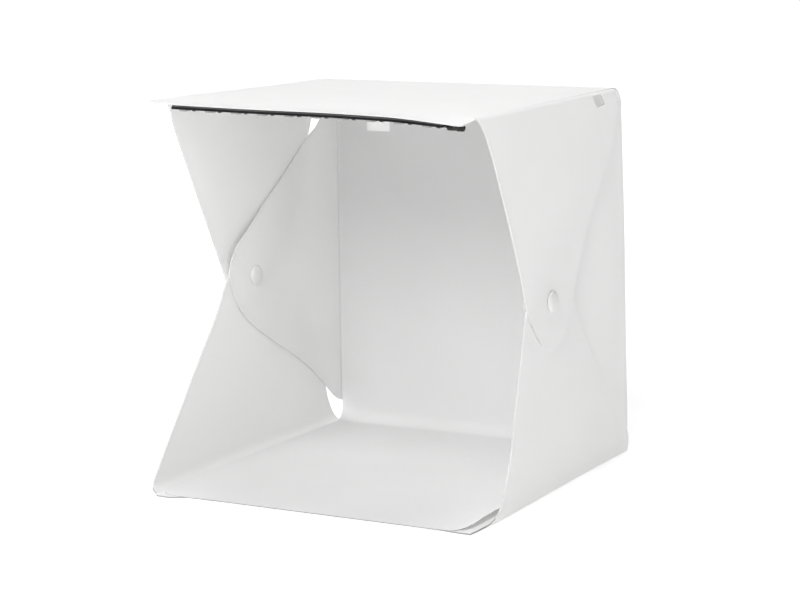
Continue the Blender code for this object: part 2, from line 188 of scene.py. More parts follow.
def blend_colour(tree, shader, factor, colour):
    """Mix a colour over the shader's own where factor is one."""
    mix = add(tree, "ShaderNodeMix", data_type="RGBA")
    under = shader.inputs["Base Color"].links[0].from_socket
    tree.links.new(factor, mix.inputs[0])
    tree.links.new(under, mix.inputs[6])
    mix.inputs[7].default_value = (*colour, 1)
    tree.links.new(mix.outputs[2], shader.inputs["Base Color"])


def maths(tree, operation, a, b=None):
    node = add(tree, "ShaderNodeMath", operation=operation)
    for socket, value in zip(node.inputs, (a, b)):
        if isinstance(value, float):
            socket.default_value = value
        elif value is not None:
            tree.links.new(value, socket)
    return node.outputs[0]


EDGE_GREY_AND_SHADE = (0.28, 0.28, 0.28)
SHADE_NEAR_GROUND, CUT_ELSEWHERE = 1.0, 0.4  # how much of that grey cut edges show: near the ground it is painted shade, for edges that get no light there; elsewhere they are a little darker
GROUND_EDGE = 3 * MM
CREVICE, CREVICE_PAINTED_LIGHT = 5 * MM, 0.085  # how narrow a gap glows with painted light, which stands in for light spread inside the sheet, and how strongly


def translucent(name, low, high, glow, roughness, through, clear):
    """Thin white plastic: part of the light goes through it, and a little of what is behind shows.

    Its narrow gaps, on their front faces, glow with a painted light that stands in for light spread inside the sheet
    and keeps them from going dark.
    """
    material = finish(name, low, high, roughness, grain_scale=2600.0, grain=0.25, specular=0.2, patches=14.0)
    tree = material.node_tree
    shader, output = tree.nodes["Principled BSDF"], tree.nodes["Material Output"]
    # Cut edges are greyed: near the ground fully, as painted shade, and elsewhere a little
    blend_colour(tree, shader, add(tree, "ShaderNodeAttribute", attribute_name="cut").outputs["Fac"], EDGE_GREY_AND_SHADE)
    hidden = add(tree, "ShaderNodeAmbientOcclusion", samples=4, Distance=CREVICE).outputs["AO"]
    behind = add(tree, "ShaderNodeNewGeometry").outputs["Backfacing"]
    # Painted light: narrow gaps on the front faces glow, in place of light spread inside the sheet
    painted_glow = maths(tree, "MULTIPLY", maths(tree, "SUBTRACT", 1.0, hidden), CREVICE_PAINTED_LIGHT)
    painted_glow = maths(tree, "MULTIPLY", painted_glow, maths(tree, "SUBTRACT", 1.0, behind))
    tree.links.new(painted_glow, shader.inputs["Emission Strength"])
    shader.inputs["Emission Color"].default_value = (1, 1, 0.99, 1)
    inside = add(tree, "ShaderNodeBsdfTranslucent", Color=(*glow, 1))
    mixed = add(tree, "ShaderNodeMixShader", Fac=through)
    tree.links.new(shader.outputs[0], mixed.inputs[1])
    tree.links.new(inside.outputs[0], mixed.inputs[2])
    sheer = add(tree, "ShaderNodeBsdfTransparent")
    final = add(tree, "ShaderNodeMixShader", Fac=clear)
    tree.links.new(mixed.outputs[0], final.inputs[1])
    tree.links.new(sheer.outputs[0], final.inputs[2])
    tree.links.new(final.outputs[0], output.inputs["Surface"])
    return material


SHEET = translucent("sheet", (0.915, 0.915, 0.912), (0.943, 0.943, 0.94), (0.95, 0.95, 0.94), 0.48, 0.13, 0.004)
BACKDROP = translucent("backdrop", (0.87, 0.87, 0.87), (0.895, 0.895, 0.896), (0.93, 0.93, 0.93), 0.6, 0.11, 0.004)

# The patches behind the backdrop, the pale spots where they show through it, which also glow with a painted light, and
# the painted shade that greys the backdrop towards its top
PATCH_X, PATCH_Z = 72.8, 213.5
PATCH_HALVES, PATCH_FACES, PATCH_BEVEL = (9.0, 8.0), (112.1, 112.9), 0.3
SPOT_HALVES, SPOT_RIM = (8.8, 8.0), 0.9
SPOT_COLOUR, SPOT_PAINTED_LIGHT = (0.96, 0.96, 0.95), 0.13
TOP_SHADE_HEIGHT, TOP_SHADE_GREY = 215, (0.80, 0.80, 0.80)


def paint_top_shade_and_spot_light(material):
    """Painted shade greys the backdrop towards its top, and the white patches behind it show as paler spots with soft
    rims, lit by a painted glow.
    """
    tree = material.node_tree
    shader = tree.nodes["Principled BSDF"]
    place = add(tree, "ShaderNodeSeparateXYZ")
    tree.links.new(tree.nodes["place"].outputs["Object"], place.inputs[0])

    def within(distance, half):
        node = add(tree, "ShaderNodeMapRange", interpolation_type="SMOOTHSTEP")
        node.inputs["From Min"].default_value = (half + SPOT_RIM) * MM
        node.inputs["From Max"].default_value = (half - SPOT_RIM) * MM
        tree.links.new(maths(tree, "ABSOLUTE", distance), node.inputs["Value"])
        return node.outputs[0]

    across = maths(tree, "SUBTRACT", maths(tree, "ABSOLUTE", place.outputs["X"]), PATCH_X * MM)
    height = maths(tree, "SUBTRACT", place.outputs["Z"], PATCH_Z * MM)
    spot = maths(tree, "MULTIPLY", within(across, SPOT_HALVES[0]), within(height, SPOT_HALVES[1]))
    painted_glow = shader.inputs["Emission Strength"].links[0].from_socket
    # Painted light: the spots glow a little
    painted_glow = maths(tree, "ADD", painted_glow, maths(tree, "MULTIPLY", spot, SPOT_PAINTED_LIGHT))
    top_shade = add(tree, "ShaderNodeMapRange")
    top_shade.inputs["From Max"].default_value = TOP_SHADE_HEIGHT * MM
    tree.links.new(place.outputs["Z"], top_shade.inputs["Value"])
    # Painted shade: the backdrop greys towards its top
    blend_colour(tree, shader, top_shade.outputs[0], TOP_SHADE_GREY)
    blend_colour(tree, shader, spot, SPOT_COLOUR)
    tree.links.new(painted_glow, shader.inputs["Emission Strength"])


paint_top_shade_and_spot_light(BACKDROP)

# name, lowest and highest colour, roughness, scale and strength of the grain
SNAPS = finish("snap", (0.72, 0.72, 0.715), (0.75, 0.75, 0.745), 0.3, 900.0, 0.03, specular=0.4)
PATCHES = finish("patch", (0.90, 0.90, 0.89), (0.96, 0.96, 0.95), 0.95, 3000.0, 0.9)
TAPE = finish("tape", (0.045, 0.045, 0.045), (0.08, 0.08, 0.08), 0.8, 2200.0, 0.5, specular=0.15)
BOARD = finish("board", (0.004, 0.004, 0.005), (0.009, 0.009, 0.010), 0.5, 1500.0, 0.1, specular=0.12)
# The lamps' bodies are a darker grey, a painted shade for the shade they hang in under the lip
SHADED_LAMP = finish("lamp", (0.40, 0.40, 0.39), (0.50, 0.50, 0.49), 0.35, 1500.0, 0.05)
PHOSPHOR = finish("phosphor", (0.62, 0.58, 0.36), (0.70, 0.66, 0.44), 0.15, 2500.0, 0.08, patches=900.0)
RESISTOR = finish("resistor", (0.02, 0.02, 0.02), (0.04, 0.04, 0.04), 0.35, 1500.0, 0.1)
SOLDER = finish("solder", (0.55, 0.55, 0.56), (0.70, 0.70, 0.70), 0.28, 1800.0, 0.1, Metallic=1.0)
INLET = finish("inlet", (0.004, 0.004, 0.004), (0.010, 0.010, 0.010), 0.26, 1400.0, 0.1, specular=0.3)
LEAD = finish("lead", (0.02, 0.02, 0.02), (0.045, 0.045, 0.045), 0.5, 1400.0, 0.1)


# Meshes


def make_object(name, verts, faces, material, smooth):
    """An object whose faces are smooth or flat, as a list of true or false says."""
    mesh = bpy.data.meshes.new(name)
    mesh.from_pydata([tuple(float(c) * MM for c in v) for v in verts], [], faces)
    mesh.polygons.foreach_set("use_smooth", smooth)
    mesh.update()
    mesh.materials.append(material)
    obj = bpy.data.objects.new(name, mesh)
    bpy.context.scene.collection.objects.link(obj)
    return obj


def curve_through(points, steps):
    """A smooth line through points, as a centripetal spline."""
    points = [np.array(p, float) for p in points]
    points = [2 * points[0] - points[1], *points, 2 * points[-1] - points[-2]]
    line = []
    for a, b, c, d in zip(points, points[1:], points[2:], points[3:]):
        t0, t1 = 0.0, np.linalg.norm(b - a) ** 0.5
        t2 = t1 + np.linalg.norm(c - b) ** 0.5
        t3 = t2 + np.linalg.norm(d - c) ** 0.5
        for t in np.linspace(t1, t2, steps, endpoint=False):
            p = (t1 - t) / (t1 - t0) * a + (t - t0) / (t1 - t0) * b
            q = (t2 - t) / (t2 - t1) * b + (t - t1) / (t2 - t1) * c
            r = (t3 - t) / (t3 - t2) * c + (t - t2) / (t3 - t2) * d
            s = (t2 - t) / (t2 - t0) * p + (t - t0) / (t2 - t0) * q
            w = (t3 - t) / (t3 - t1) * q + (t - t1) / (t3 - t1) * r
            line.append(tuple((t2 - t) / (t2 - t1) * s + (t - t1) / (t2 - t1) * w))
    line.append(tuple(points[-2]))
    return line


def lines_between(low, high, step):
    return np.linspace(low, high, max(2, round((high - low) / step)) + 1)[1:-1]


CUT_TOLERANCE = 0.01
SLOPE_STEP = 0.05  # how far to each side of a point its slope is taken


def cut_along(bm, point, normal):
    geometry = bm.verts[:] + bm.edges[:] + bm.faces[:]
    bmesh.ops.bisect_plane(bm, geom=geometry, dist=CUT_TOLERANCE, plane_co=point, plane_no=normal)


def cut_flat(outline, steps, extra_lines, hole):
    """The flat sheet's points, faces and rim, cut in strips so that it can bend."""
    bm = bmesh.new()
    bm.faces.new([bm.verts.new((u, v, 0)) for u, v in outline])
    flat = np.array(outline, float)
    cuts = []
    for axis in (0, 1):
        cuts += [(axis, at) for at in lines_between(flat[:, axis].min(), flat[:, axis].max(), steps[axis])]
    cuts += [(1, at) for at in extra_lines]
    for axis, at in cuts:
        point, normal = [0, 0, 0], [0, 0, 0]
        point[axis], normal[axis] = float(at), 1
        cut_along(bm, point, normal)
    hole_sides = [(Vector((*a, 0)), Vector((*b, 0)) - Vector((*a, 0))) for a, b in zip(hole, hole[1:] + hole[:1])]
    for start, along in hole_sides:
        cut_along(bm, start, along.cross(Vector((0, 0, 1))))

    def in_hole(face):
        middle = face.calc_center_median()
        turns = [along.cross(middle - start).z for start, along in hole_sides]
        return min(turns) > 0 or max(turns) < 0

    if hole:
        bmesh.ops.delete(bm, geom=[f for f in bm.faces if in_hole(f)], context="FACES")
    bm.normal_update()
    if bm.faces[:][0].normal.z < 0:
        bmesh.ops.reverse_faces(bm, faces=bm.faces)
    bm.verts.index_update()
    spots = [(v.co.x, v.co.y) for v in bm.verts]
    faces = [[v.index for v in f.verts] for f in bm.faces]
    loops = [loop for f in bm.faces for loop in f.loops if loop.edge.is_boundary]
    rim = [(loop.vert.index, loop.link_loop_next.vert.index) for loop in loops]
    bm.free()
    return spots, faces, rim


def sheet(name, outline, shape, material, steps, extra_lines, thick=THICK, hole=()):
    """A thin sheet cut to an outline of (u, v) points and bent by shape(u, v), which gives its outer face."""
    spots, faces, rim = cut_flat(outline, steps, extra_lines, hole)
    h = SLOPE_STEP
    outer = np.array([racked(shape(u, v)) for u, v in spots])
    along = np.array([racked(shape(u + h, v)) - racked(shape(u - h, v)) for u, v in spots])
    across = np.array([racked(shape(u, v + h)) - racked(shape(u, v - h)) for u, v in spots])
    normals = np.cross(along, across)
    normals /= np.linalg.norm(normals, axis=1)[:, None]
    outward = 1 if np.sum(normals * (outer - MIDDLE)) > 0 else -1
    inner = outer - normals * outward * thick
    if outward < 0:
        faces = [f[::-1] for f in faces]
        rim = [(b, a) for a, b in rim]
    n = len(spots)
    verts = list(outer) + list(inner)
    all_faces = faces + [[i + n for i in f[::-1]] for f in faces]
    smooth = [True] * len(all_faces)
    start = len(verts)
    index = {}
    for a, _ in rim:
        index[a] = start + 2 * len(index)
        verts += [outer[a], inner[a]]
    for a, b in rim:
        if b not in index:
            index[b] = start + 2 * len(index)
            verts += [outer[b], inner[b]]
        all_faces.append([index[a], index[a] + 1, index[b] + 1, index[b]])
        smooth.append(False)
    obj = make_object(name, verts, all_faces, material, smooth)
    # Cut edges near the ground take the full grey, which paints the shade they lie in; the rest take less of it
    edge_grey_and_shade = [SHADE_NEAR_GROUND if face.center.z < GROUND_EDGE else CUT_ELSEWHERE for face in obj.data.polygons]
    cut = obj.data.attributes.new("cut", "FLOAT", "FACE")
    cut.data.foreach_set("value", [0.0 if face_is_smooth else edge for face_is_smooth, edge in zip(smooth, edge_grey_and_shade)])
    return obj


def turned(name, profile, centre, axis, material, sides=40):
    """A turned piece: the profile gives (radius, height over the centre) down its outer side."""
    verts, faces, rings = [], [], []
    for radius, height in profile:
        if radius == 0:
            rings.append([len(verts)])
            verts.append((0, 0, height))
            continue
        rings.append(list(range(len(verts), len(verts) + sides)))
        for i in range(sides):
            turn = 2 * math.pi * i / sides
            verts.append((radius * math.cos(turn), radius * math.sin(turn), height))
    for upper, lower in zip(rings, rings[1:]):
        for i in range(sides):
            j = (i + 1) % sides
            quad = [upper[i % len(upper)], lower[i % len(lower)], lower[j % len(lower)], upper[j % len(upper)]]
            faces.append(list(dict.fromkeys(quad)))
    turn = Vector(axis).to_track_quat("Z", "Y").to_matrix()
    placed = [racked(centre) + np.array(turn @ Vector(v)) for v in verts]
    return make_object(name, placed, faces, material, [True] * len(faces))


def rounded_box(low, high, bevel, segments=2):
    """The (verts, faces) of a box with rounded edges."""
    bm = bmesh.new()
    bmesh.ops.create_cube(bm, size=1)
    size, middle = np.subtract(high, low), np.add(high, low) / 2
    for v in bm.verts:
        v.co = Vector(size * np.array(v.co) + middle)
    bmesh.ops.bevel(bm, geom=bm.edges[:], offset=bevel, segments=segments, affect="EDGES", profile=0.5)
    verts = [np.array(v.co) for v in bm.verts]
    faces = [[v.index for v in f.verts] for f in bm.faces]
    bm.free()
    return verts, faces


def merged(name, pieces, material, move):
    """One object from several (verts, faces), with each point moved."""
    verts, faces = [], []
    for some, loops in pieces:
        faces += [[i + len(verts) for i in loop] for loop in loops]
        verts += [move(v) for v in some]
    return make_object(name, verts, faces, material, [False] * len(faces))


def sharpen(obj, angle):
    """Keep the edges of a smooth object sharp where its faces turn by more than an angle."""
    modifier = obj.modifiers.new("edges", "EDGE_SPLIT")
    modifier.split_angle = math.radians(angle)


def carry_to(obj, point):
    obj.data.transform(Matrix.Translation(Vector(point) * MM))


def stand_for(obj, slot, body, *nodes, bend=None):
    """Put an object on its body, in place of its nodes. An object with a bend is put on no body: its place is baked
    into its points, and what bend names (the body across a bend and the bend's two ends) is not used.
    """
    if bend:
        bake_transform(obj)
    else:
        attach(obj, body)
    if nodes:
        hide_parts(*nodes)


# The sheet's bends: distances run along its outer face


def arc_of(radius):
    """The distance round a right-angled bend."""
    return radius * math.pi / 2


def bend_point(distance, radius):
    """Across and away from where a right-angled bend starts, at a distance from there."""
    over = distance - arc_of(radius)
    if distance < 0:
        return distance, 0.0
    if over > 0:
        return radius, radius + over
    turn = distance / radius
    return radius * math.sin(turn), radius * (1 - math.cos(turn))


def along_bend(away, radius):
    """The distance round a bend to a point that far from the panel."""
    if away >= radius:
        return arc_of(radius) + away - radius
    return radius * math.acos(1 - max(away, 0) / radius)


def eased(away, start, end, plane, layer):
    """How far out a flap stands, as it leans from its plane in to its layer."""
    return layer + (plane - layer) * (1 + math.cos(math.pi * part_way(away, start, end))) / 2


# Panels

LIP_ARCH, LIP_ARCH_AT, LIP_ARCH_WIDTH = 0.65, 30, 45
LIP_DROOP = 3.1


def lip_fall(x, y):
    """The lip arches a little and droops at its right end, where the inlet hangs on it."""
    out, right = part_way(-y, 80, 108), part_way(x, 65, 115)
    arch = LIP_ARCH * math.exp(-(((x - LIP_ARCH_AT) / LIP_ARCH_WIDTH) ** 2))
    return out**1.5 * (arch - LIP_DROOP * right**1.4)


def make_top():
    arc = arc_of(TOP_BACK_BEND)
    flat_end = HALF_DEPTH - TOP_BACK_BEND
    half = TOP_PLANE - TOP_BEND
    side_end = half - 1.0  # the rear bend is cut a little narrower

    def shape(x, v):
        share = part_way(v, flat_end - 6, flat_end + 2)
        wide = x * (1 + (TOP_REAR["right" if x > 0 else "left"] / side_end - 1) * share)
        if v > flat_end:
            across, away = bend_point(v - flat_end, TOP_BACK_BEND)
            return (wide, flat_end + across, HEIGHT - away)
        return (wide, v, HEIGHT + lip_fall(x, v))

    end = flat_end + arc
    left_lip = [
        (-half, -84), (-110.5, -87), (-111, -93), (-110.4, -100), (-108, -104.3), (-103, -106.8), (-95, -108.2),
        (-85, -109),
    ]
    right_lip = [
        (102, -109.2), (108.6, -109), (111.2, -107), (111.8, -102), (111.9, -96), (111.4, -92.5), (half, -90),
    ]
    outline = [
        *curve_through(left_lip, 4), *curve_through(right_lip, 4),
        (half, 94.5), (side_end, flat_end), (side_end, end),
        (-side_end, end), (-side_end, flat_end), (-half, 96),
    ]
    lines = [flat_end + arc * i / 8 for i in range(8)]
    top = sheet("top_sheet", outline, shape, SHEET, (8, 8), lines)
    stand_for(
        top, "sheet", "back", "top_panel", "top_crease",
        bend=("top", (0, HALF_DEPTH, HEIGHT - TOP_BACK_BEND), (0, flat_end, HEIGHT)),
    )


FOOT_HEIGHT = 15.5  # from there up the back has its own width


def make_base_and_back():
    flat_end = HALF_DEPTH - BASE_BACK_BEND
    arc = arc_of(BASE_BACK_BEND)
    foot_end = flat_end + arc + FOOT_HEIGHT - BASE_BACK_BEND
    end = flat_end + arc + HEIGHT - TOP_BACK_BEND - BASE_BACK_BEND

    def half_at(side, v):
        base_half = base_plane(side, v) - BASE_BENDS[side]
        if v < flat_end:
            return base_half
        height = bend_point(v - flat_end, BASE_BACK_BEND)[1]
        foot = min(height / FOOT_HEIGHT, 1)
        return base_half * (1 - foot) + (back_plane(side, height) - BACK_BEND) * foot

    def shape(u, v):
        across, away = bend_point(v - flat_end, BASE_BACK_BEND)
        x = u * half_at("right" if u > 0 else "left", v)
        return (x, flat_end + across, away + sag(x, v))

    # (share of the half width, Y)
    front = [
        (-1, -115), (-0.985, -117.6), (-0.95, -119.2), (-0.9, -119.4), (-0.84, -117.2), (-0.77, -113.6),
        (-0.7, -111.4), (-0.6, -110.6), (-0.3, -110.5), (0.2, -110.5), (0.6, -110.8), (0.74, -112.4),
        (0.84, -114.9), (0.93, -116.2), (1, -116.4),
    ]
    outline = [*curve_through(front, 5), (1, foot_end), (1, end), (-1, end), (-1, foot_end)]
    lines = [flat_end + arc * i / 6 for i in range(7)]
    obj = sheet("base_and_back_sheet", outline, shape, SHEET, (0.08, 10), lines)
    stand_for(
        obj, "sheet", "base", "base_panel", "base_crease", "back_panel",
        bend=("back", (0, flat_end, 0), (0, HALF_DEPTH, BASE_BACK_BEND)),
    )


# Flaps

TIP_IN = 0.8  # the top flaps' tips are pressed in by their snaps
SPREAD_ROUND_SNAP, SPREAD_ABOVE = 1.3, 2.6
# An edge that lies a millimetre further out keeps its place in the photograph when it moves by (Y, Z)
RIGHT_SHIFT, LEFT_SHIFT = (-1.9, 0.4), (1.45, -0.25)


def make_flap(side, name, panel, shape, edge, steps, bend, lines, hole=()):
    """A flap cut along its edge, which goes from one foot to the other in (along, distance) of the flat sheet."""
    outline = curve_through(edge, 7)
    obj = sheet(f"{side}_{name}_sheet", outline, shape, SHEET, steps, lines, hole=hole)
    nodes = (f"{side}_{name}", f"{side}_{name}_crease")
    stand_for(obj, "sheet", panel, *nodes, bend=(f"{side}_{name}", *bend))


def spread(side, y, z):
    """Away from its snap the left back flap springs out against the flaps behind it."""
    if side == "right":
        return 0.0
    away = math.hypot(y - SNAPS_AT[side][0], z - SNAPS_AT[side][1])
    loose, above = part_way(away, 9, 25), part_way(z, 146, 168)
    free = part_way(HALF_DEPTH - y, 0, 45)
    return gently(free) * (SPREAD_ROUND_SNAP * loose + SPREAD_ABOVE * gently(above))


# Cut edges in (Y, Z), from one foot of the flap round its tip to the other
TOP_EDGES = {
    "right": [
        (-90, 239.3), (-91.6, 239), (-91.6, 237.8), (-88.6, 234.9), (-83.6, 229.1), (-77.5, 219.6), (-69.8, 204.6),
        (-55.5, 173.4), (-47.2, 154.9), (-37.5, 130), (-32.5, 116), (-24.5, 104.5), (-12.9, 93.2), (-1, 88), (9, 88.5),
        (18, 94.5), (24, 105), (34, 127), (49.4, 154), (68, 179), (84.4, 199), (96.2, 222), (96.4, 232), (95.6, 237),
        (95, 240),
    ],
    "left": [
        (-80, 244.2), (-78, 240), (-75.3, 235), (-74.1, 229.5), (-68.7, 216.5), (-62.1, 203.2), (-48.7, 176.1),
        (-34.8, 148.5), (-21.5, 121.7), (-17, 111.5), (-11, 100), (-1, 91.5), (9, 88.5), (19, 92), (27, 102),
        (38, 112), (47.5, 121), (56, 140), (64.3, 158.6), (77, 188), (88.4, 214.5), (97, 236), (98, 240),
    ],
}
BASE_EDGES = {
    "right": [
        (-116.4, 0), (-108, 0.12), (-99, 0.5), (-92, 1.6), (-86.4, 3.3), (-81.5, 6), (-77.3, 10), (-73.3, 15),
        (-68.8, 22.5), (-60.5, 36), (-50.5, 56), (-41, 76), (-34, 95), (-29.5, 112), (-23, 126), (-13, 137),
        (-2, 142.5), (9, 143), (20, 139), (29, 129), (36, 113), (51, 89), (73, 59), (90, 38), (101, 26), (109.5, 17),
        (112.5, 10), (111.5, 2), (110, 0),
    ],
    "left": [
        (-114.5, 0), (-112.6, 1.8), (-110.2, 4.6), (-106.1, 9.6), (-99.9, 17.7), (-91.6, 28.8), (-79.1, 45.7),
        (-66.8, 62.9), (-53.6, 80), (-39.6, 97.2), (-31.6, 109), (-25, 119.5), (-17, 131), (-8, 139), (2, 143),
        (12, 142.5), (22, 137.5), (31, 128), (40, 116), (52.2, 104), (66.6, 89), (81, 65), (92, 37), (95, 27),
        (97.7, 18.5), (101.5, 11), (106, 4), (109, 0),
    ],
}
BACK_EDGES = {
    "right": [
        (114, 15.5), (111.5, 16), (104, 20.5), (89.3, 31.7), (58, 51), (25, 71.5), (-7.2, 92), (-18, 103),
        (-24.5, 116), (-25.5, 129), (-20, 140), (-11.7, 147), (5, 158), (30.1, 175.3), (69.3, 199), (91.3, 214),
        (101, 224.5), (106.5, 230), (110.3, 230.5), (113, 228), (114, 226),
    ],
    "left": [
        (114, 14.5), (111.5, 15), (105.5, 18), (98, 23.8), (89.5, 31), (75, 42), (60, 52.2), (25, 72), (-5.8, 91.6),
        (-16, 102), (-23, 115), (-24.6, 128), (-19, 139), (-10.3, 146.2), (5, 157), (31.5, 174.9), (52, 188.5),
        (75, 204.9), (84, 209.6), (90.5, 214.8), (105, 225.5), (111.5, 227.5), (114, 227.5),
    ],
}
SLOT = [(60.3, 238.0), (72.0, 238.3), (78.4, 231.6), (66.6, 230.5)]  # for the supply's cable


def make_top_flap(side, sign):
    def shape(y, v):
        across, away = bend_point(v, TOP_BEND)
        tip = part_way(away - HEIGHT, -108, -88)
        return (sign * (TOP_PLANE - TOP_BEND + across - TIP_IN * gently(tip)), y, HEIGHT - away)

    def spot(y, z):
        return (y, along_bend(HEIGHT - level(sign * TOP_PLANE, y, z), TOP_BEND))

    make_flap(
        side, "top_flap", "top", shape, [spot(y, z) for y, z in TOP_EDGES[side]], (6, 8),
        [(sign * (TOP_PLANE - TOP_BEND), 0, HEIGHT), (sign * TOP_PLANE, 0, HEIGHT - TOP_BEND)],
        [arc_of(TOP_BEND) * i / 5 for i in range(1, 6)],
        [spot(y, z) for y, z in SLOT] if side == "right" else (),
    )


def make_base_flap(side, sign):
    bend, layer = BASE_BENDS[side], BASE_LAYERS[side]

    def shape(y, v):
        across, away = bend_point(v, bend)
        plane = base_plane(side, y)
        inward = eased(away, bend, BASE_UPRIGHT, plane, layer) - plane
        low = sag(sign * (plane - bend), y) * (1 - min(away / 60, 1))
        return (sign * (plane - bend + across + inward), y, away + low)

    edge = []
    for y, z in BASE_EDGES[side]:
        out = (layer - BASE_LAYERS["left"]) * min(z / BASE_UPRIGHT, 1)
        height = level(sign * layer, y, z + RIGHT_SHIFT[1] * out)
        edge.append((y + RIGHT_SHIFT[0] * out, along_bend(height, bend)))
    foot = float(base_plane(side, 0))
    make_flap(
        side, "base_flap", "base", shape, edge, (6, 6),
        [(sign * (foot - bend), 0, 0), (sign * foot, 0, bend)],
        [arc_of(bend) * i / 5 for i in range(1, 6)],
    )


def make_back_flap(side, sign):
    def shape(z, v):
        across, away = bend_point(v, BACK_BEND)
        plane = back_plane(side, z)
        inward = eased(away, BACK_BEND, BACK_STRAIGHT, plane, BACK_LAYER) - plane
        out = spread(side, HALF_DEPTH - away, z)
        return (sign * (plane - BACK_BEND + across + inward + out), HALF_DEPTH - away, z)

    edge = []
    for y, z in BACK_EDGES[side]:
        out = spread(side, y, z)
        height = level(sign * BACK_LAYER, y, z + LEFT_SHIFT[1] * out)
        edge.append((height, along_bend(HALF_DEPTH - y - LEFT_SHIFT[0] * out, BACK_BEND)))
    corner = float(back_plane(side, 120))
    make_flap(
        side, "back_flap", "back", shape, edge, (6, 6),
        [(sign * (corner - BACK_BEND), HALF_DEPTH, 0), (sign * corner, HALF_DEPTH - BACK_BEND, 0)],
        [arc_of(BACK_BEND) * i / 4 for i in range(1, 5)],
    )


def make_flaps():
    for side, sign in SIDES:
        make_top_flap(side, sign)
        make_base_flap(side, sign)
        make_back_flap(side, sign)


# Backdrop

BACKDROP_THICK, BACKDROP_BEND, BACKDROP_TOP = 0.4, 9.0, 222
BACKDROP_LOW, BACKDROP_REAR = 1.0, 111.8  # the height of its lower face, and how far back its rear face is
BACKDROP_HALVES = {"left": (105.5, 107.6, 105.6), "right": (112.5, 108.0, 105.5)}  # at the front, the bend and the top
CURL = {"left": 1.6, "right": 3.7}  # how far its side edges rise towards the front
DROOP = 0.5  # how far its front edge falls
# The rounded front corners: their share of the width, their depth and the front edge's Y
CORNER_SHARE, CORNER_DEPTH, BACKDROP_LIP = 0.115, 13, -115.8


def make_backdrop():
    under, radius, front = BACKDROP_LOW, BACKDROP_BEND, -113
    floor_end = BACKDROP_REAR - radius
    arc = arc_of(radius)
    end = floor_end + arc + BACKDROP_TOP - under - radius

    def curl_at(side, x, v):
        """The share of the edge at a point, and the rise of the sheet there."""
        forward = part_way(v, floor_end, front)
        if side == "left":
            edge = part_way(-x, 98, 112, 1.2)
            return edge, CURL[side] * forward**0.7 * edge**2.2
        edge = part_way(x, 102.5, 112, 1.2)
        near = part_way(v, -118, -78)
        return edge, CURL[side] * near**0.6 * min(forward / 0.84, 1) ** 0.7 * edge**2.3

    def shape(u, v):
        side = "left" if u < 0 else "right"
        across, away = bend_point(v - floor_end, radius)
        x = u * np.interp(v, (front, floor_end, end), BACKDROP_HALVES[side])
        edge, curl = curl_at(side, x, v)
        droop = DROOP * part_way(-v, 109.5, 116) ** 2 * (1 - edge)
        return (x, floor_end + across, under + away + curl - droop + sag(x, v))

    corner = [
        (-1 + CORNER_SHARE * (1 - math.sin(turn)), BACKDROP_LIP + CORNER_DEPTH * (1 - math.cos(turn)))
        for turn in np.linspace(math.pi / 2, 0, 9)
    ]
    outline = [*corner, *((-u, v) for u, v in reversed(corner)), (1, end), (-1, end)]
    lines = [floor_end + arc * i / 10 for i in range(11)]
    obj = sheet("backdrop_sheet", outline, shape, BACKDROP, (0.06, 8), lines, BACKDROP_THICK)
    stand_for(
        obj, "backdrop", "base", "backdrop_floor", "backdrop_crease", "backdrop_wall",
        bend=("back", (0, floor_end, under), (0, BACKDROP_REAR, under + radius)),
    )


def make_patches():
    wide, high = PATCH_HALVES
    near, far = PATCH_FACES
    for side, sign in SIDES:
        x = sign * PATCH_X
        cushion = rounded_box((x - wide, near, PATCH_Z - high), (x + wide, far, PATCH_Z + high), PATCH_BEVEL)
        obj = merged(f"{side}_hook_patch", [cushion], PATCHES, racked)
        stand_for(obj, "patch", "back", f"{side}_backdrop_patch")


# Snaps: (radius, height) down the outer side of each

CAP = [
    (0, 2.75), (1.6, 2.7), (3.2, 2.5), (4.6, 2.12), (5.6, 1.68), (6.3, 1.18), (6.62, 0.72), (6.7, 0.4), (6.6, 0.1),
    (6.35, 0.0), (1.4, 0.0), (1.4, -1.7), (0, -1.7),
]
SOCKET = [
    (2.9, 0.62), (3.1, 0.7), (5.1, 0.7), (5.3, 0.5), (5.3, 0.0), (1.7, 0.0), (1.7, 0.3), (2.9, 0.3), (2.9, 0.62),
]
STUD = [
    (0, 0.6), (2.2, 0.6), (2.6, 0.45), (2.6, 0.3), (5.1, 0.3), (5.3, 0.15), (5.3, 0.0), (1.4, 0.0), (1.4, -1.7),
    (0, -1.7),
]
HOLLOW_STUD = [
    (1.7, 0.6), (2.3, 0.6), (2.6, 0.45), (2.6, 0.3), (5.1, 0.3), (5.3, 0.15), (5.3, 0.0), (1.7, 0.0), (1.7, 0.6),
]
# name, profile, how far out it sits, whether it faces out or in, flap
SNAP_PIECES = (
    ("outer_cap", CAP, 113.3, 1, "top"),
    ("outer_socket", SOCKET, 111.9, -1, "top"),
    ("middle_stud", STUD, 110.3, 1, "base"),
    ("middle_socket", SOCKET, 108.9, -1, "base"),
    ("inner_stud", HOLLOW_STUD, 107.3, 1, "back"),
    ("inner_cap", CAP, 105.9, -1, "back"),
)


def make_snaps():
    for side, sign in SIDES:
        for name, profile, across, way, flap in SNAP_PIECES:
            centre = (sign * across, *SNAPS_AT[side])
            obj = turned(f"{side}_{name}_snap", profile, centre, (sign * way, 0, 0), SNAPS)
            sharpen(obj, 50)
            stand_for(obj, "snap", f"{side}_{flap}_flap", f"{side}_{name}")


# Light strip

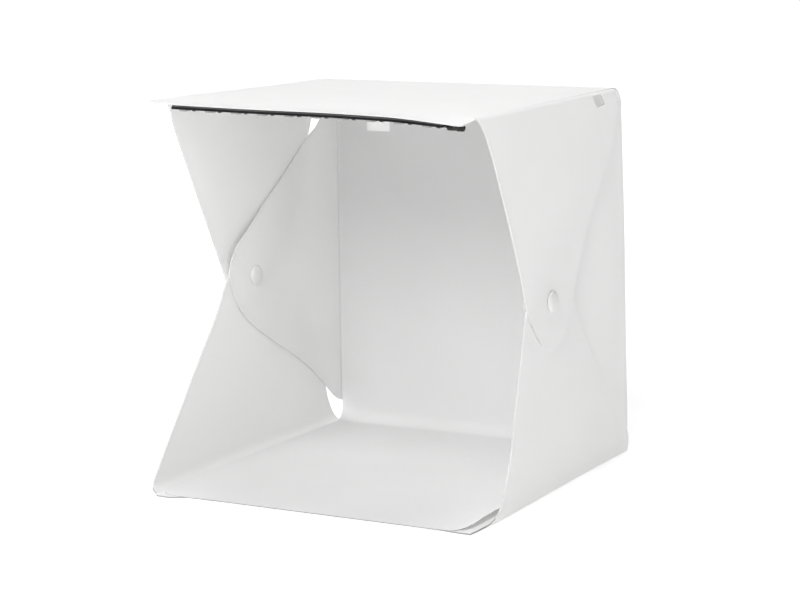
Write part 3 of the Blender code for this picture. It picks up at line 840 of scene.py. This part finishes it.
STRIP_LEFT, STRIP_RIGHT, STRIP_FRONT, STRIP_BACK = -91.0, 98.6, -108.0, -100.0
STRIP_MIDDLE = (STRIP_FRONT + STRIP_BACK) / 2
STRIP_CELLS = 60  # along its length, so that it can follow the lip
BAND_FRONT = STRIP_FRONT - 0.8  # of the tape and the board
LAMP_COUNT, LAMP_PITCH, FIRST_LAMP, LAMP_HALF = 10, 18.7, -81.4, 2.5
LEG_OUT, LEG_ROWS, LEG_SIZE = 2.55, (-1.6, 0, 1.6), (0.7, 0.8)
RESISTOR_Y, RESISTOR_HALF_X, RESISTOR_HALF_Y = STRIP_FRONT + 0.5, 1.25, 0.8
END_OUT, END_SIZE = 1.45, (0.5, 1.7)  # the resistors' ends
TERMINAL_X, TERMINAL_ROWS, TERMINAL_SIZE = STRIP_LEFT + 2.75, (-2.6, 0.6), (5.5, 2.4)
# Lower and upper faces
TAPE_Z, BOARD_Z, LAMP_Z, RESISTOR_Z = (238.1, 239.15), (236.7, 238.05), (235.4, 236.95), (236.1, 236.95)
LEG_Z, END_Z, TERMINAL_Z = (236.6, 237.02), (236.25, 237.02), (236.9, 237.7)
WIRES = (("front", -1.3), ("rear", 1.3))  # name, distance from the strip's middle
WIRE_PATH = ((96.8, 1.0, 237.4), (98.6, 0.9, 237.1), (100.4, 0.6, 236.9))  # X, share of that distance, Z
WIRE_RADIUS, WIRE_SIDES = 0.55, 12
INLET_AT = (101.6, STRIP_MIDDLE, 236.8)
# (radius, height) down the outer side
LENS_PROFILE = [(0, 0.12), (1.2, 0.1), (1.8, 0.02), (1.9, -0.1), (0, -0.1)]
INLET_PROFILE = [
    (0, 5.5), (0.85, 5.5), (0.9, 9.0), (1.7, 9.0), (2.0, 8.8), (2.15, 8.3), (2.15, 4.9), (2.0, 4.6), (1.75, 4.5),
    (1.75, 2.6), (1.6, 2.4), (1.75, 2.2), (1.75, -1.2), (1.5, -1.5), (0, -1.5),
]


def strip_drop(p):
    """A point of the strip, hung on the warped lip."""
    x, y, z = p
    rise = racked((x, y, HEIGHT))[2] - HEIGHT
    return np.array((x, y, z + rise + lip_fall(x, STRIP_MIDDLE)))


def tube(name, rings, material, is_smooth):
    """A closed tube through rings of points."""
    n, last = len(rings[0]), len(rings) - 1
    faces = []
    for i in range(last):
        for j in range(n):
            a, b = i * n + j, i * n + (j + 1) % n
            faces.append([a, a + n, b + n, b])
    faces.append(list(range(n)))
    faces.append([last * n + j for j in range(n)][::-1])
    return make_object(name, [p for ring in rings for p in ring], faces, material, [is_smooth] * len(faces))


def strip_band(name, material, left, heights, bevel):
    """A long thin bar under the lip that follows its warp."""
    (y0, y1), (z0, z1) = (BAND_FRONT, STRIP_BACK), heights
    ring = [
        (y0 + bevel, z0), (y1 - bevel, z0), (y1, z0 + bevel), (y1, z1 - bevel),
        (y1 - bevel, z1), (y0 + bevel, z1), (y0, z1 - bevel), (y0, z0 + bevel),
    ]
    places = [left + (STRIP_RIGHT - left) * i / STRIP_CELLS for i in range(STRIP_CELLS + 1)]
    band = tube(f"strip_{name}", [[strip_drop((x, y, z)) for y, z in ring] for x in places], material, False)
    stand_for(band, name, "top", f"light_strip_{name}")


def pad(x, y, size, heights, bevel=0.08):
    """A drop of solder round (x, y)."""
    half_x, half_y = size[0] / 2, size[1] / 2
    return rounded_box((x - half_x, y - half_y, heights[0]), (x + half_x, y + half_y, heights[1]), bevel, segments=1)


def make_lamps():
    pads = []
    for i in range(LAMP_COUNT):
        x = FIRST_LAMP + LAMP_PITCH * i
        low = (x - LAMP_HALF, STRIP_MIDDLE - LAMP_HALF, LAMP_Z[0])
        body = rounded_box(low, (x + LAMP_HALF, STRIP_MIDDLE + LAMP_HALF, LAMP_Z[1]), 0.2)
        lamp = merged(f"led_{i + 1:02d}_body", [body], SHADED_LAMP, strip_drop)
        stand_for(lamp, "lamp", "top", f"led_{i + 1:02d}")
        lens = turned(f"led_{i + 1:02d}_lens", LENS_PROFILE, (0, 0, 0), (0, 0, -1), PHOSPHOR, sides=20)
        carry_to(lens, strip_drop((x, STRIP_MIDDLE, LAMP_Z[0])))
        stand_for(lens, "lamp", "top")
        for way in (-1, 1):
            pads += [pad(x + way * LEG_OUT, STRIP_MIDDLE + row, LEG_SIZE, LEG_Z) for row in LEG_ROWS]
    return pads


def make_resistors():
    pads = []
    for i in range(LAMP_COUNT):
        x = FIRST_LAMP + LAMP_PITCH * (i + 0.5)
        low = (x - RESISTOR_HALF_X, RESISTOR_Y - RESISTOR_HALF_Y, RESISTOR_Z[0])
        body = rounded_box(low, (x + RESISTOR_HALF_X, RESISTOR_Y + RESISTOR_HALF_Y, RESISTOR_Z[1]), 0.1)
        resistor = merged(f"resistor_{i + 1:02d}_body", [body], RESISTOR, strip_drop)
        stand_for(resistor, "resistor", "top", f"resistor_{i + 1:02d}")
        pads += [pad(x + way * END_OUT, RESISTOR_Y, END_SIZE, END_Z) for way in (-1, 1)]
    return pads


def make_wires():
    turns = [2 * math.pi * j / WIRE_SIDES for j in range(WIRE_SIDES)]
    ring = [(WIRE_RADIUS * math.cos(turn), WIRE_RADIUS * math.sin(turn)) for turn in turns]
    for place, dy in WIRES:
        points = [(x, STRIP_MIDDLE + dy * share, z) for x, share, z in WIRE_PATH]
        path = [strip_drop(p) for p in curve_through(points, 6)]
        wire = tube(f"{place}_lead_wire", [[(x, y + a, z + b) for a, b in ring] for x, y, z in path], LEAD, True)
        stand_for(wire, "lead", "top", f"{place}_lead")


def make_strip():
    strip_band("tape", TAPE, STRIP_LEFT + 3.5, TAPE_Z, 0.15)
    strip_band("board", BOARD, STRIP_LEFT + 3, BOARD_Z, 0.1)
    pads = make_lamps() + make_resistors()
    pads += [pad(TERMINAL_X, STRIP_MIDDLE + row, TERMINAL_SIZE, TERMINAL_Z, 0.15) for row in TERMINAL_ROWS]
    stand_for(merged("strip_solder", pads, SOLDER, strip_drop), "lamp", "top")
    make_wires()
    inlet = turned("inlet_barrel", INLET_PROFILE, (0, 0, 0), (1, 0, 0), INLET, sides=28)
    carry_to(inlet, strip_drop(INLET_AT))
    sharpen(inlet, 40)
    stand_for(inlet, "inlet", "top", "power_inlet")


# Floor, light and camera: places in metres, power in watts

FLOOR = -0.00025
FLOOR_SIZE = 40.0
GLOW_NEAR, GLOW_FAR = 0.21, 1.0  # the floor's own glow near the cube, and further away
GLOW_FROM, GLOW_TO = 0.7, 2.1  # where the one turns into the other
SKY = 0.02
# name, place, target, size, power
LIGHTS = (
    ("front_high", (0.1, -1.6, 1.5), (0, 0, 0.1), 1.4, 30.5),
    ("front_right", (1.5, -1.9, 0.9), (0, 0, 0.1), 1.3, 11.5),
    ("front_left", (-1.5, -1.9, 1.0), (0, 0, 0.1), 1.3, 14.5),
    ("overhead", (0.0, 0.9, 2.1), (0, 0, 0.15), 1.6, 33.0),
    ("right", (2.2, -0.6, 0.7), (0, 0, 0.1), 1.4, 5.7),
    ("left", (-2.2, -0.3, 0.7), (0, 0, 0.1), 1.4, 22.0),
)
# The photograph's camera: angles in degrees, its place and sensor in millimetres, its focal length in pixels
CAMERA_YAW, CAMERA_PITCH, CAMERA_ROLL = -30.11, 9.85, -1.29
CAMERA_PLACE, SENSOR_WIDTH = (760.2, -1301.0, 372.8), 36.0
FOCAL_LENGTH, PICTURE_WIDTH = 2410.0, 800


def make_floor():
    mesh = bpy.data.meshes.new("floor")
    half = FLOOR_SIZE / 2
    corners = [(-half, -half, FLOOR), (half, -half, FLOOR), (half, half, FLOOR), (-half, half, FLOOR)]
    mesh.from_pydata(corners, [], [(0, 1, 2, 3)])
    floor = bpy.data.objects.new("floor", mesh)
    bpy.context.scene.collection.objects.link(floor)
    material, tree, shader, _ = new_material("floor")
    shader.inputs["Roughness"].default_value = 0.9
    shader.inputs["Specular IOR Level"].default_value = 0.0
    tree.links.new(ramp(tree, noise(tree, 3.0), (0.90, 0.90, 0.90), (0.92, 0.92, 0.92)), shader.inputs["Base Color"])
    shader.inputs["Emission Color"].default_value = (1, 1, 1, 1)
    distance = add(tree, "ShaderNodeVectorMath", operation="LENGTH")
    tree.links.new(tree.nodes["place"].outputs["Object"], distance.inputs[0])
    glow = add(tree, "ShaderNodeMapRange", interpolation_type="SMOOTHSTEP")
    glow.inputs["From Min"].default_value, glow.inputs["From Max"].default_value = GLOW_FROM, GLOW_TO
    glow.inputs["To Min"].default_value, glow.inputs["To Max"].default_value = GLOW_NEAR, GLOW_FAR
    tree.links.new(distance.outputs["Value"], glow.inputs["Value"])
    tree.links.new(glow.outputs[0], shader.inputs["Emission Strength"])
    mesh.materials.append(material)


def make_light():
    bpy.context.scene.view_settings.view_transform = "Standard"
    world = bpy.data.worlds.new("studio")
    bpy.context.scene.world = world
    world.use_nodes = True
    world.node_tree.nodes["Background"].inputs["Color"].default_value = (1, 1, 1, 1)
    world.node_tree.nodes["Background"].inputs["Strength"].default_value = SKY

    for name, place, target, size, power in LIGHTS:
        light = bpy.data.lights.new(name, "AREA")
        light.energy, light.size = power, size
        obj = bpy.data.objects.new(name, light)
        obj.location = place
        obj.rotation_mode = "QUATERNION"
        obj.rotation_quaternion = (Vector(target) - Vector(place)).to_track_quat("-Z", "Y")
        bpy.context.scene.collection.objects.link(obj)


def make_camera():
    yaw, pitch, roll = (math.radians(angle) for angle in (CAMERA_YAW, CAMERA_PITCH, CAMERA_ROLL))
    forward = Vector((math.sin(yaw) * math.cos(pitch), math.cos(yaw) * math.cos(pitch), -math.sin(pitch)))
    sideways = Vector((math.cos(yaw), -math.sin(yaw), 0))
    up = sideways.cross(forward)
    right = sideways * math.cos(roll) + up * math.sin(roll)
    over = up * math.cos(roll) - sideways * math.sin(roll)
    data = bpy.data.cameras.new("camera")
    data.sensor_width = SENSOR_WIDTH
    data.lens = FOCAL_LENGTH / PICTURE_WIDTH * SENSOR_WIDTH
    data.clip_end = 200.0
    camera = bpy.data.objects.new("camera", data)
    matrix = Matrix((right, over, -forward)).transposed().to_4x4()
    matrix.translation = Vector(CAMERA_PLACE) * MM
    camera.matrix_world = matrix
    bpy.context.scene.collection.objects.link(camera)
    bpy.context.scene.camera = camera


make_camera()
make_floor()
make_light()
make_top()
make_base_and_back()
make_flaps()
make_backdrop()
make_patches()
make_snaps()
make_strip()
